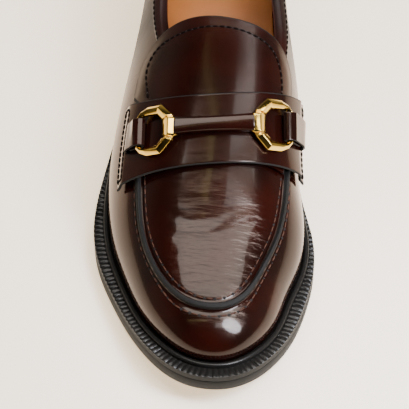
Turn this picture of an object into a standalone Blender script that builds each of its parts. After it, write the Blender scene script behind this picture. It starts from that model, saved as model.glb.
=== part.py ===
"""Bit loafer, one right shoe, in metres: toe towards -Y, heel towards +Y, medial side at +X, +Z up.

Every leather piece is worked out from one function, last_point, which gives the outside of the upper at
a share of the last's length from the toe and a share of its half width across.
"""
import math

import bmesh
import bpy
import numpy as np
from mathutils import Matrix, Vector

# Driving sizes of the last, in metres
LAST_LENGTH = 0.262
BALL_WIDTH = 0.0875
INSTEP_HEIGHT = 0.076
COLLAR_HEIGHT = 0.058
TOE_SPRING = 0.010
HEEL_HEIGHT = 0.0215

# Driving sizes of the bottom
SOLE_THICKNESS = 0.0070
WELT_THICKNESS = 0.0040
WELT_STANDOUT = 0.0085
BEAD_RADIUS = 0.0015
SOLE_EDGE_ROUND = 0.0012
TAB_RISE = 0.0006
TAB_EASE = 0.0002
BAND_EDGE_ROUND = 0.0006
BAND_DROP = 0.0004
BAND_MINIMUM = 0.0008
HEEL_TAPER = 0.0015
INSOLE_THICKNESS = 0.0025
GAP = 0.0003

# Driving sizes of the upper
WALL = 0.0020
RIDGE_WIDTH = 0.0024
RIDGE_HEIGHT = 0.0018
TONGUE_THICKNESS = 0.0018
TONGUE_LAP = 0.004
STRAP_WIDTH = 0.033
STRAP_THICKNESS = 0.0020
STRAP_TILT = 20
STRAP_SKEW = 8
STRAP_FLARE = 0.27
STRAP_LATERAL = 0.0535
STRAP_MEDIAL = 0.0505
STRAP_DROP = 0.008
SLIT_WIDTH = 0.0022
SLIT_LENGTH = 0.0140

# Driving sizes of the bit
BIT_SPREAD = 0.0246
BIT_OFFSET = -0.0042
BIT_SETBACK = 0.0011
RING_LENGTH = 0.0238
RING_WIDTH = 0.0196
RING_THICKNESS = 0.0032
BAR_HEIGHT = 0.0086
BAR_WAIST = 0.0074
BAR_THICKNESS = 0.0056
TAB_WIDTH = 0.0130
TAB_THICKNESS = 0.0012
TAB_LATERAL = 0.0159
TAB_MEDIAL = 0.0222

# How round the last is: powers of its outline and of its sections
SIDE_POWER = 2.2
END_POWER = 2.3
CREST_POWER = 2.5
TOE_ROUND = 0.313
HEEL_ROUND = 0.15
BULGE_TOP = 0.8
TONGUE_POWER = 5

# Where things lie along the last, as shares of its length from the toe
BALL_FRONT = 0.26
BALL_BACK = 0.38
SEAT_FRONT = 0.82
HEEL_BREAST = 0.745
THROAT_FRONT = 0.372
THROAT_CORNER = 0.440
APRON_FRONT = 0.070
APRON_CORNER = 0.314
SEAM_FAN = 0.12
SEAM_END = 0.385
SEAM_FADE = 0.355
SEAM_BLEND = 0.14
TONGUE_FREE = 0.425
TONGUE_WIDENING = {-1: 0.10, 1: 0.02}
STRAP_CENTRE = 0.367
TONGUE_TOP = 0.541
TONGUE_SLANT = 0.018
TONGUE_CORNER = 0.455
TONGUE_INSET = 0.03

# How the mesh is divided
STATIONS = 36
LOW_ROWS = 6
HIGH_ROWS = 8
TONGUE_ROWS = 16
PATH_STEPS = 160
# How square the wrapped bar's section is, across and in height: less is squarer
BAR_WIDE_POWER = 0.6
BAR_HIGH_POWER = 0.8

# Sections of the last. Half width and bulge are shares of half the ball width, centre and lean shares of
# the ball width, crest a share of the instep height, stand a share of the welt's stand-out
SECTIONS = (
    # share, half_width, centre, crest, lean, bulge, lateral_stand, medial_stand
    (0.00, 0.768, 0.086, 0.380, 0.000, 0.024, 1.06, 1.06),
    (0.08, 0.879, 0.059, 0.400, 0.000, 0.024, 0.84, 0.94),
    (0.15, 0.916, 0.029, 0.440, 0.000, 0.026, 0.88, 1.03),
    (0.22, 0.994, 0.011, 0.500, 0.020, 0.028, 0.96, 0.81),
    (0.30, 1.026, -0.018, 0.600, 0.060, 0.035, 0.91, 0.61),
    (0.38, 0.985, -0.052, 0.720, 0.105, 0.055, 0.69, 0.45),
    (0.50, 0.920, -0.058, 0.900, 0.125, 0.080, 0.45, 0.33),
    (0.62, 0.792, -0.066, 1.010, 0.095, 0.085, 0.40, 0.33),
    (0.75, 0.700, -0.083, 1.050, 0.035, 0.085, 0.42, 0.36),
    (0.87, 0.695, -0.092, 1.130, 0.010, 0.090, 0.45, 0.42),
    (1.00, 0.700, -0.092, 1.250, 0.000, 0.090, 0.50, 0.50),
)

# Topline: its height over the feather line as a share of the collar height
TOPLINE = (
    # share, height
    (0.36, 0.800),
    (0.44, 0.930),
    (0.50, 0.975),
    (0.58, 0.900),
    (0.68, 0.845),
    (0.80, 0.860),
    (0.90, 0.930),
    (1.00, 1.000),
)

# Where a line up the wall that starts at a share of the feather line ends along the topline
FAN = (
    # start, end
    (0.00, 0.00),
    (0.30, 0.05),
    (0.50, 0.16),
    (0.70, 0.46),
    (0.85, 0.75),
    (1.00, 1.00),
)

# Apron line: the share across the last at which the raised seam runs
APRON = (
    # share, across
    (0.00, 0.720),
    (0.20, 0.742),
    (0.30, 0.745),
    (0.40, 0.818),
    (0.50, 0.826),
    (0.60, 0.830),
    (1.00, 0.830),
)

# Height of the raised seam against the distance from its middle, as shares of half its width and its height
RIDGE = (
    # distance, height
    (-2.30, 0.00),
    (-1.15, 0.05),
    (-0.88, 1.00),
    (0.88, 1.00),
    (1.15, 0.05),
    (2.30, 0.00),
)

# Corners of a ring of the bit, from the ferrule round to the hidden bar and back: across and back are
# shares of half the ring's width and length, towards the ferrule and towards the heel
RING = (
    # outer_across, outer_back, inner_across, inner_back, thickness
    (1.20, 0.33, 0.50, 0.26, 1.00),
    (1.08, 0.39, 0.49, 0.30, 1.00),
    (1.01, 0.41, 0.52, 0.33, 0.60),
    (0.97, 0.45, 0.50, 0.36, 0.60),
    (0.98, 0.50, 0.44, 0.38, 1.00),
    (0.38, 1.00, 0.16, 0.64, 1.00),
    (-0.36, 0.99, -0.38, 0.66, 0.95),
    (-0.76, 0.84, -0.64, 0.63, 0.82),
    (-1.00, 0.61, -0.74, 0.59, 0.70),
    (-1.00, -0.61, -0.74, -0.59, 0.70),
    (-0.76, -0.84, -0.64, -0.63, 0.82),
    (-0.36, -0.99, -0.38, -0.66, 0.95),
    (0.38, -1.00, 0.16, -0.64, 1.00),
    (0.98, -0.50, 0.44, -0.38, 1.00),
    (0.97, -0.45, 0.50, -0.36, 0.60),
    (1.01, -0.41, 0.52, -0.33, 0.60),
    (1.08, -0.39, 0.49, -0.30, 1.00),
    (1.20, -0.33, 0.50, -0.26, 1.00),
)

# The row of the ring's table at which its hidden bar starts
HIDDEN_BAR = 8

# Colours as linear values, roughness and metallic value of each material
FINISHES = {
    "burgundy_leather": ((0.045, 0.006, 0.007), 0.14, 0.0),
    "black_rubber": ((0.012, 0.012, 0.011), 0.55, 0.0),
    "gold_metal": ((0.62, 0.40, 0.13), 0.18, 1.0),
    "tan_leather": ((0.42, 0.16, 0.06), 0.50, 0.0),
}


def natural_spline(table, column):
    """A smooth curve through one column of a table, against the table's first column."""
    knots = np.array([row[0] for row in table])
    values = np.array([row[column] for row in table])
    gaps = np.diff(knots)
    slopes = np.diff(values) / gaps
    count = len(knots)
    system = np.eye(count)
    bend_sums = np.zeros(count)
    for i in range(1, count - 1):
        system[i, i - 1:i + 2] = gaps[i - 1], 2 * (gaps[i - 1] + gaps[i]), gaps[i]
        bend_sums[i] = 6 * (slopes[i] - slopes[i - 1])
    bends = np.linalg.solve(system, bend_sums)

    def curve(share):
        at = min(max(share, knots[0]), knots[-1])
        i = min(int(np.searchsorted(knots, at, side="right")) - 1, count - 2)
        left = at - knots[i]
        right = knots[i + 1] - at
        cubic = (bends[i] * right ** 3 + bends[i + 1] * left ** 3) / (6 * gaps[i])
        start = (values[i] / gaps[i] - bends[i] * gaps[i] / 6) * right
        end = (values[i + 1] / gaps[i] - bends[i + 1] * gaps[i] / 6) * left
        return float(cubic + start + end)

    return curve


half_width_share = natural_spline(SECTIONS, 1)
centre_share = natural_spline(SECTIONS, 2)
crest_share = natural_spline(SECTIONS, 3)
lean_share = natural_spline(SECTIONS, 4)
bulge_share = natural_spline(SECTIONS, 5)
stand_shares = {-1: natural_spline(SECTIONS, 6), 1: natural_spline(SECTIONS, 7)}
topline_share = natural_spline(TOPLINE, 1)
fan_share = natural_spline(FAN, 1)
apron_across = natural_spline(APRON, 1)


def smooth_step(value):
    """Goes smoothly from 0 to 1 while the value goes from 0 to 1."""
    x = min(max(value, 0.0), 1.0)
    return x ** 3 * (10 - 15 * x + 6 * x * x)


def half_width(share):
    return half_width_share(share) * BALL_WIDTH / 2


def sole_line(share):
    """Height of the sole's underside: toe spring, flat ball, arch and heel seat."""
    spring = TOE_SPRING * max(0.0, (BALL_FRONT - share) / BALL_FRONT) ** 2
    lift = HEEL_HEIGHT * smooth_step((share - BALL_BACK) / (SEAT_FRONT - BALL_BACK))
    return spring + lift


def feather_height(share):
    """Height of the line where the upper meets the welt."""
    return sole_line(share) + SOLE_THICKNESS + WELT_THICKNESS + 2 * GAP


def end_fill(share):
    """How much of the section the round toe and the round heel take away."""
    toe = max(0.0, (TOE_ROUND - share) / TOE_ROUND) ** END_POWER
    heel = max(0.0, (share - 1 + HEEL_ROUND) / HEEL_ROUND) ** END_POWER
    return toe + heel


def last_point(across, share):
    """A point on the outside of the upper, or where the upper would be over its opening."""
    fill = abs(across) ** SIDE_POWER + end_fill(share)
    rise = max(0.0, 1 - fill) ** (1 / CREST_POWER)
    half = half_width(share)
    x = BALL_WIDTH * centre_share(share) + across * half + BALL_WIDTH * lean_share(share) * rise ** 2
    y = (share - 0.5) * LAST_LENGTH
    z = feather_height(share) + INSTEP_HEIGHT * crest_share(share) * rise
    toe = max(0.0, (TOE_ROUND - share) / TOE_ROUND) ** (END_POWER - 1) / TOE_ROUND
    heel = max(0.0, (share - 1 + HEEL_ROUND) / HEEL_ROUND) ** (END_POWER - 1) / HEEL_ROUND
    out_x = SIDE_POWER * math.copysign(abs(across) ** (SIDE_POWER - 1), across) / half
    out_y = END_POWER * (heel - toe) / LAST_LENGTH
    length = math.hypot(out_x, out_y)
    if length > 1e-6:
        level = min(rise / BULGE_TOP, 1.0)
        swell = bulge_share(share) * BALL_WIDTH / 2 * 6.75 * level * (1 - level) ** 2
        x += swell * out_x / length
        y += swell * out_y / length
    return Vector((x, y, z))


def last_frame(across, share):
    """The point on the upper with its directions: across to the medial side, back along the foot, and out."""
    step = 0.002
    point = last_point(across, share)
    sideways = (last_point(across + step, share) - last_point(across - step, share)).normalized()
    back = (last_point(across, share + step) - last_point(across, share - step)).normalized()
    out = sideways.cross(back).normalized()
    return point, sideways, back, out


def over_last(across, share, height):
    """The point at a height over the upper's outside."""
    point, _, _, out = last_frame(across, share)
    return point + out * height


def edge_across(share):
    """The share across at which the last meets the feather line."""
    return max(0.0, 1 - end_fill(share)) ** (1 / SIDE_POWER)


def feather_point(side, share):
    """A plan point of the feather line, on the medial side (+1) or the lateral side (-1)."""
    x = BALL_WIDTH * centre_share(share) + side * edge_across(share) * half_width(share)
    return Vector((x, (share - 0.5) * LAST_LENGTH))


def outline_point(side, share, offset):
    """A plan point at a distance outside the feather line."""
    if share <= 0.0 or share >= 1.0:
        outward = Vector((0.0, math.copysign(1.0, share - 0.5)))
        return feather_point(side, share) + outward * offset
    step = 0.02 * min(share, 1 - share)
    tangent = feather_point(side, share + step) - feather_point(side, share - step)
    outward = Vector((side * tangent.y, -side * tangent.x)).normalized()
    return feather_point(side, share) + outward * offset


def outline_shares(first, last, count):
    """Shares from first to last, spaced evenly along the feather line, so that round ends get more."""
    turn = np.linspace(0.0, math.pi, 400)
    shares = first + (last - first) * (1 - np.cos(turn)) / 2
    points = [feather_point(1, share) for share in shares]
    steps = [(b - a).length for a, b in zip(points, points[1:])]
    lengths = np.concatenate(([0.0], np.cumsum(steps)))
    return [float(s) for s in np.interp(np.linspace(0.0, lengths[-1], count), lengths, shares)]


def new_object(name, vertices, faces, finish, sharp_angle=40):
    """A mesh object with its own material, its doubled points joined and its round faces shaded smooth."""
    mesh = bpy.data.meshes.new(name)
    mesh.from_pydata([tuple(v) for v in vertices], [], faces)
    mesh.validate()
    made = bpy.data.objects.new(name, mesh)
    bpy.context.scene.collection.objects.link(made)
    weld(mesh)
    mesh.shade_smooth()
    mesh.set_sharp_from_angle(angle=math.radians(sharp_angle))
    colour, roughness, metallic = FINISHES[finish]
    material = bpy.data.materials.new(name + "_" + finish)
    material.use_nodes = True
    shader = material.node_tree.nodes["Principled BSDF"]
    shader.inputs["Base Color"].default_value = (*colour, 1.0)
    shader.inputs["Roughness"].default_value = roughness
    shader.inputs["Metallic"].default_value = metallic
    mesh.materials.append(material)
    return made


def weld(mesh):
    """Joins doubled points, such as the two sides' ends at the toe and heel."""
    work = bmesh.new()
    work.from_mesh(mesh)
    bmesh.ops.remove_doubles(work, verts=work.verts, dist=1e-6)
    bmesh.ops.recalc_face_normals(work, faces=work.faces)
    work.to_mesh(mesh)
    work.free()


def ring_faces(ring_count, ring_size, closed):
    """Faces between neighbouring rings of points; closed joins the last ring to the first."""
    faces = []
    for i in range(ring_count if closed else ring_count - 1):
        here = i * ring_size
        there = (i + 1) % ring_count * ring_size
        for c in range(ring_size):
            d = (c + 1) % ring_size
            faces.append((here + c, here + d, there + d, there + c))
    return faces


def closed_tube(rings):
    """Points and faces of a body whose rings follow each other round a closed section."""
    vertices = [point for ring in rings for point in ring]
    return vertices, ring_faces(len(rings), len(rings[0]), True)


def plate(rings):
    """Points and faces of rings stacked from bottom to top, closed below and above by ribs across."""
    size = len(rings[0])
    vertices = [point for ring in rings for point in ring]
    faces = ring_faces(len(rings), size, False)
    top = (len(rings) - 1) * size
    for i in range(size // 2 - 1):
        j = size - 1 - i
        faces.append((i, j, j - 1, i + 1))
        faces.append((top + i, top + i + 1, top + j - 1, top + j))
    return vertices, faces


def outline_ring(shares, offset_at, height_at):
    """A ring of points round the outline: along the medial side to the heel and back to the toe."""
    ring = []
    for side, order in ((1, shares), (-1, list(reversed(shares)))):
        for share in order:
            plan = outline_point(side, share, offset_at(side, share))
            ring.append(Vector((plan.x, plan.y, height_at(plan.y / LAST_LENGTH + 0.5))))
    return ring


def sole_offset(side, share):
    """How far the welt and the sole stand out from the upper's foot."""
    return WELT_STANDOUT * stand_shares[side](share)


def build_outsole():
    shares = outline_shares(0.0, 1.0, STATIONS)
    levels = (
        # inset, height over the underside
        (SOLE_EDGE_ROUND, 0.0),
        (0.0, SOLE_EDGE_ROUND),
        (0.0, SOLE_THICKNESS),
    )
    rings = []
    for inset, height in levels:
        rings.append(outline_ring(shares, lambda d, s, i=inset: sole_offset(d, s) - i,
                                  lambda s, h=height: sole_line(s) + h))
    return new_object("outsole", *plate(rings), "black_rubber")


def build_heel():
    shares = outline_shares(HEEL_BREAST, 1.0, STATIONS // 3)
    levels = (
        # inset, share of the heel's height
        (HEEL_TAPER + SOLE_EDGE_ROUND, 0.0),
        (HEEL_TAPER, SOLE_EDGE_ROUND / HEEL_HEIGHT),
        (0.0, 1.0),
    )
    rings = []
    for inset, level in levels:
        rings.append(outline_ring(shares, lambda d, s, i=inset: sole_offset(d, s) - i,
                                  lambda s, v=level: (sole_line(s) - GAP) * v))
    return new_object("heel", *plate(rings), "black_rubber")


def build_insole():
    shares = outline_shares(0.0, 1.0, STATIONS)
    inset = WALL + 2 * GAP
    bottom = SOLE_THICKNESS + GAP
    top = SOLE_THICKNESS + WELT_THICKNESS + INSOLE_THICKNESS
    rings = []
    for height in (bottom, top):
        rings.append(outline_ring(shares, lambda d, s: -inset, lambda s, h=height: sole_line(s) + h))
    return new_object("insole", *plate(rings), "tan_leather")


def build_welt():
    """The welt: a flat band with a round bead that lies against the upper's foot."""
    shares = outline_shares(0.0, 1.0, 2 * STATIONS)
    base = SOLE_THICKNESS + GAP
    top = base + WELT_THICKNESS
    bead_out = GAP + 2 * BEAD_RADIUS

    def bead_foot(side, share):
        """Where the bead meets the band."""
        return min(bead_out, sole_offset(side, share) - BAND_MINIMUM)

    profile = (
        # place, from the inner edge over the bead to the outer edge and back underneath, and height
        (lambda d, s: -WALL, base),
        (sole_offset, base),
        (sole_offset, top - 2 * BAND_EDGE_ROUND),
        (lambda d, s: sole_offset(d, s) - BAND_DROP, top - BAND_EDGE_ROUND),
        (bead_foot, top - BAND_DROP),
        (lambda d, s: bead_foot(d, s) - GAP, top + BEAD_RADIUS * 0.8),
        (lambda d, s: GAP + BEAD_RADIUS, top + BEAD_RADIUS * 1.2),
        (lambda d, s: GAP + BEAD_RADIUS * 0.5, top + BEAD_RADIUS),
        (lambda d, s: GAP, top),
        (lambda d, s: -WALL, top),
    )
    rings = [outline_ring(shares, place, lambda s, h=height: sole_line(s) + h) for place, height in profile]
    return new_object("welt", *closed_tube(rings), "black_rubber")


def topline_across(share):
    """The share across at which the last reaches the topline, before the throat rounds it."""
    level = topline_share(share) * COLLAR_HEIGHT / (INSTEP_HEIGHT * crest_share(share))
    return max(0.0, 1 - end_fill(share) - min(level, 1.0) ** CREST_POWER) ** (1 / SIDE_POWER)


def collar_back():
    """The share at which the topline crosses the back of the heel."""
    low, high = 1 - HEEL_ROUND, 1.0
    for _ in range(40):
        middle = (low + high) / 2
        if topline_across(middle) > 0.0:
            low = middle
        else:
            high = middle
    return low


def opening_across(share):
    """The share across of the opening's edge, rounded at the throat."""
    throat = max(0.0, (THROAT_CORNER - share) / (THROAT_CORNER - THROAT_FRONT))
    return topline_across(share) * math.sqrt(max(0.0, 1 - throat ** 2))


def apron_line(share):
    """The share across of the apron seam, rounded at the toe."""
    toe = max(0.0, (APRON_CORNER - share) / (APRON_CORNER - APRON_FRONT))
    return apron_across(share) * max(0.0, 1 - toe ** END_POWER) ** (1 / END_POWER)


def wall_column(side, share, back):
    """A line up the wall in (across, share): feather line, apron line and topline, with the seam's share."""
    start = (side * edge_across(share), share)
    end_share = THROAT_FRONT + (back - THROAT_FRONT) * fan_share(share)
    end = (side * opening_across(end_share), end_share)
    seam_share = share + (end_share - share) * (APRON_FRONT / THROAT_FRONT + SEAM_FAN * smooth_step(share / SEAM_END))
    seam = (side * apron_line(seam_share), seam_share)
    halfway = ((start[0] + end[0]) / 2, (start[1] + end[1]) / 2)
    mix = smooth_step((share - SEAM_END) / SEAM_BLEND)
    middle = tuple(seam[k] * (1 - mix) + halfway[k] * mix for k in range(2))
    return start, middle, end, 1 - smooth_step((share - SEAM_FADE) / (2 * (SEAM_END - SEAM_FADE)))


def wall_rows(side, share, back):
    """Points up the wall from the feather line to the topline, with the seam's height at each."""
    start, middle, end, seam = wall_column(side, share, back)
    places = []
    for i in range(PATH_STEPS):
        t = (i / PATH_STEPS) ** CREST_POWER
        places.append((start[0] + (middle[0] - start[0]) * t, start[1] + (middle[1] - start[1]) * t))
    for i in range(PATH_STEPS + 1):
        t = i / PATH_STEPS
        places.append((middle[0] + (end[0] - middle[0]) * t, middle[1] + (end[1] - middle[1]) * t))
    points = np.array([last_point(*place) for place in places])
    steps = np.linalg.norm(np.diff(points, axis=0), axis=1)
    lengths = np.concatenate(([0.0], np.cumsum(steps)))
    at_seam = lengths[PATH_STEPS]
    reach = -RIDGE[0][0] * RIDGE_WIDTH / 2
    distances = [(at_seam - reach) * i / LOW_ROWS for i in range(LOW_ROWS)]
    heights = [0.0] * LOW_ROWS
    for place, height in RIDGE:
        distances.append(at_seam + place * RIDGE_WIDTH / 2)
        heights.append(height * RIDGE_HEIGHT * seam)
    rest = lengths[-1] - at_seam - reach
    for i in range(1, HIGH_ROWS + 1):
        distances.append(at_seam + reach + rest * i / HIGH_ROWS)
        heights.append(0.0)
    rows = np.column_stack([np.interp(distances, lengths, points[:, k]) for k in range(3)])
    return rows, heights


def upper_grid():
    """The upper's outside as rows of points round the shoe, with the outward directions and seam heights."""
    back = collar_back()
    shares = outline_shares(0.0, 1.0, STATIONS + 1)
    columns = [wall_rows(1, share, back) for share in shares]
    columns += [wall_rows(-1, share, back) for share in reversed(shares[1:-1])]
    grid = np.array([rows for rows, _ in columns]).transpose(1, 0, 2)
    heights = np.array([seam for _, seam in columns]).T
    around = np.roll(grid, -1, axis=1) - np.roll(grid, 1, axis=1)
    upward = np.gradient(grid, axis=0)
    outward = np.cross(around, upward)
    outward /= np.linalg.norm(outward, axis=2, keepdims=True)
    outward[0, :, 2] = 0.0
    return grid, outward, heights


def build_upper():
    grid, outward, heights = upper_grid()
    rings = list(grid + outward * heights[:, :, None])
    rim = grid[-1] - outward[-1] * WALL / 2 + np.array((0.0, 0.0, WALL * 0.3))
    rings.append(rim)
    last_row = len(grid) - 1
    inner_rows = [last_row, last_row - 2, last_row - 4, last_row - 6, LOW_ROWS + 5, LOW_ROWS, 4, 2, 1, 0]
    for row in inner_rows:
        rings.append(grid[row] - outward[row] * WALL)
    return new_object("upper", *closed_tube([list(ring) for ring in rings]), "burgundy_leather")


def sheet(outer, inner, holes=()):
    """Points and faces of a sheet with two grids of points as its faces, and cells left out as holes."""
    rows = len(outer)
    size = len(outer[0])
    vertices = [p for row in outer for p in row] + [p for row in inner for p in row]
    shift = rows * size
    cells = [(i, j) for i in range(rows - 1) for j in range(size - 1) if (i, j) not in holes]
    faces = []
    edges = {}
    for i, j in cells:
        corner = (i * size + j, i * size + j + 1, (i + 1) * size + j + 1, (i + 1) * size + j)
        faces.append(corner)
        faces.append(tuple(v + shift for v in reversed(corner)))
        for a, b in zip(corner, corner[1:] + corner[:1]):
            edges[(a, b)] = True
    for a, b in edges:
        if (b, a) not in edges:
            faces.append((b, a, a + shift, b + shift))
    used = sorted({v for face in faces for v in face})
    number = {v: k for k, v in enumerate(used)}
    return [vertices[v] for v in used], [tuple(number[v] for v in face) for face in faces]


def tongue_side(side, share):
    """The share across of the tongue's side edge: beside the apron seam, then wider behind the strap."""
    beside = apron_line(share) - (RIDGE_WIDTH / 2 + 2 * GAP) / half_width(share) - TONGUE_INSET
    widening = TONGUE_WIDENING[side] * smooth_step((share - TONGUE_FREE) / (TONGUE_CORNER - TONGUE_FREE))
    return side * (beside + widening)


def tongue_place(turn, share_up):
    """A place on the tongue: turn goes from its lateral edge (-1) to its medial edge (1), share_up along it."""
    side = 1 if turn >= 0 else -1
    bottom = strap_share(0.0, -STRAP_WIDTH / 2 + TONGUE_LAP)
    across = tongue_side(side, TONGUE_CORNER) * abs(turn)
    top = TONGUE_TOP - TONGUE_SLANT * across
    corner = (top - TONGUE_CORNER) * (1 - max(0.0, 1 - abs(turn) ** TONGUE_POWER) ** (1 / TONGUE_POWER))
    share = bottom + (top - corner - bottom) * share_up
    return tongue_side(side, min(share, TONGUE_CORNER)) * abs(turn), share


def strap_share(across, distance):
    """The share along the last at which the strap's tilted cross plane at a distance meets this line."""
    tilt = math.radians(STRAP_TILT)
    skew = math.tan(math.radians(STRAP_SKEW))
    crest = last_point(0.0, STRAP_CENTRE)

    def beyond(share):
        step = last_point(across, share) - crest
        return (step.y - skew * step.x) * math.cos(tilt) + step.z * math.sin(tilt) - distance

    low, high = 0.2, 0.8
    for _ in range(40):
        middle = (low + high) / 2
        if beyond(middle) < 0.0:
            low = middle
        else:
            high = middle
    return (low + high) / 2


def build_tongue():
    outer = []
    inner = []
    for i in range(TONGUE_ROWS + 1):
        places = [tongue_place(math.sin(math.pi / 2 * (j / TONGUE_ROWS * 2 - 1)), math.sin(math.pi / 2 * i / TONGUE_ROWS))
                  for j in range(TONGUE_ROWS + 1)]
        outer.append([over_last(*place, GAP + TONGUE_THICKNESS) for place in places])
        inner.append([over_last(*place, GAP) for place in places])
    return new_object("tongue", *sheet(outer, inner), "burgundy_leather")


def strap_arc():
    """Distances along the strap's middle from the crest, and the shares across that they belong to."""
    shares = np.linspace(-0.99, 0.99, 199)
    points = [last_point(across, strap_share(across, 0.0)) for across in shares]
    steps = [(b - a).length for a, b in zip(points, points[1:])]
    lengths = np.concatenate(([0.0], np.cumsum(steps)))
    return lengths - lengths[99], shares


def strap_base(place):
    """Height of the strap's underside over the upper: on the tongue and the seam, then down to the wall."""
    seam = SEAM_ARC[1] if place > 0 else SEAM_ARC[-1]
    down = smooth_step((abs(place) - seam - RIDGE_WIDTH) / STRAP_DROP)
    return GAP + (TONGUE_THICKNESS + GAP) * (1 - down)


def strap_flare(place):
    """How much wider the strap is at a distance from the crest than over it."""
    return 1 + STRAP_FLARE * (place / STRAP_LATERAL) ** 2


def strap_point(place, distance, height):
    """A point over the strap's middle line (place), towards the heel by distance, at a height over its base."""
    across = float(np.interp(place, *STRAP_ARC))
    return over_last(across, strap_share(across, distance * strap_flare(place)), strap_base(place) + height)


def strap_frame(place, distance, height):
    """The frame of a piece that lies on the strap: point, towards the medial side, back, out."""
    step = 0.001
    point = strap_point(place, distance, height)
    sideways = (strap_point(place + step, distance, height) - strap_point(place - step, distance, height))
    back = (strap_point(place, distance + step, height) - strap_point(place, distance - step, height))
    out = sideways.cross(back).normalized()
    sideways = sideways.normalized()
    return point, sideways, out.cross(sideways), out


def bit_place(side):
    return BIT_OFFSET + side * BIT_SPREAD


def slit_place(side):
    return bit_place(side) + side * (TAB_MEDIAL if side > 0 else TAB_LATERAL)


STRAP_ARC = strap_arc()
SEAM_ARC = {side: abs(float(np.interp(side * apron_line(STRAP_CENTRE), STRAP_ARC[1], STRAP_ARC[0])))
            for side in (-1, 1)}


def build_strap():
    places = [slit_place(side) + edge * SLIT_WIDTH / 2 for side in (-1, 1) for edge in (-1, 1)]
    left, right = places[0], places[3]
    inner = list(np.linspace(places[1], places[2], 19))
    across = [-STRAP_LATERAL, (-STRAP_LATERAL + left) / 2, left] + inner + [right, (right + STRAP_MEDIAL) / 2,
                                                                           STRAP_MEDIAL]
    slit = SLIT_LENGTH / (STRAP_WIDTH * strap_flare(left))
    middle = BIT_SETBACK / STRAP_WIDTH
    along = [-0.5, (middle - slit / 2 - 0.5) / 2, middle - slit / 2, middle, middle + slit / 2,
             (middle + slit / 2 + 0.5) / 2, 0.5]
    outer = [[strap_point(a, b * STRAP_WIDTH, STRAP_THICKNESS) for a in across] for b in along]
    under = [[strap_point(a, b * STRAP_WIDTH, 0.0) for a in across] for b in along]
    holes = [(row, column) for row in (2, 3) for column in (2, len(across) - 4)]
    return new_object("saddle_strap", *sheet(outer, under, holes), "burgundy_leather")


def ring_frame(side):
    """The frame in which a ring of the bit lies flat, over the lower layer of its tab."""
    return strap_frame(bit_place(side), BIT_SETBACK, STRAP_THICKNESS + 2 * GAP + TAB_THICKNESS)


def build_ring(side, name):
    """A ring of the bit: flat sides with a raised edge along their middle, and a block between two necks."""
    rings = []
    for outer_across, outer_back, inner_across, inner_back, thickness in RING:
        outer = Vector((outer_across * RING_WIDTH / 2 * -side, outer_back * RING_LENGTH / 2, 0.0))
        inner = Vector((inner_across * RING_WIDTH / 2 * -side, inner_back * RING_LENGTH / 2, 0.0))
        top = Vector((0.0, 0.0, RING_THICKNESS * thickness))
        rings.append([inner, outer, outer + top * 0.45, outer.lerp(inner, 0.45) + top, inner + top * 0.5])
    ring = new_object(name, *closed_tube(rings), "gold_metal", 20)
    point, sideways, back, out = ring_frame(side)
    ring.matrix_world = Matrix.Translation(point) @ Matrix((sideways, back, out)).transposed().to_4x4()
    return ring


def build_bar():
    """The leather-wrapped bar between the ferrules, lying over the strap."""
    ends = []
    backs = []
    outs = []
    for side in (-1, 1):
        point, sideways, back, out = ring_frame(side)
        reach = RING[0][0] * RING_WIDTH / 2 + GAP
        ends.append(point - sideways * side * reach + out * RING_THICKNESS / 2)
        backs.append(back)
        outs.append(out)
    middle = strap_point(BIT_OFFSET, BIT_SETBACK, STRAP_THICKNESS + GAP + BAR_THICKNESS / 2)
    rise = (outs[0] + outs[1]).normalized()
    bow = (middle - (ends[0] + ends[1]) / 2).dot(rise)
    rings = []
    for i in range(9):
        t = i / 8
        centre = ends[0].lerp(ends[1], t) + rise * bow * 4 * t * (1 - t)
        back = backs[0].lerp(backs[1], t).normalized()
        out = outs[0].lerp(outs[1], t).normalized()
        half = (BAR_WAIST + (BAR_HEIGHT - BAR_WAIST) * (2 * t - 1) ** 2) / 2
        ring = []
        for k in range(12):
            turn = 2 * math.pi * k / 12
            wide = math.copysign(abs(math.cos(turn)) ** BAR_WIDE_POWER, math.cos(turn)) * half
            high = math.copysign(abs(math.sin(turn)) ** BAR_HIGH_POWER, math.sin(turn)) * BAR_THICKNESS / 2
            ring.append(centre + back * wide + out * high)
        rings.append(ring)
    vertices = [point for ring in rings for point in ring]
    faces = ring_faces(len(rings), 12, False)
    faces.append(tuple(range(12)))
    faces.append(tuple(reversed(range(8 * 12, 9 * 12))))
    return new_object("bit_bar", vertices, faces, "burgundy_leather")


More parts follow.
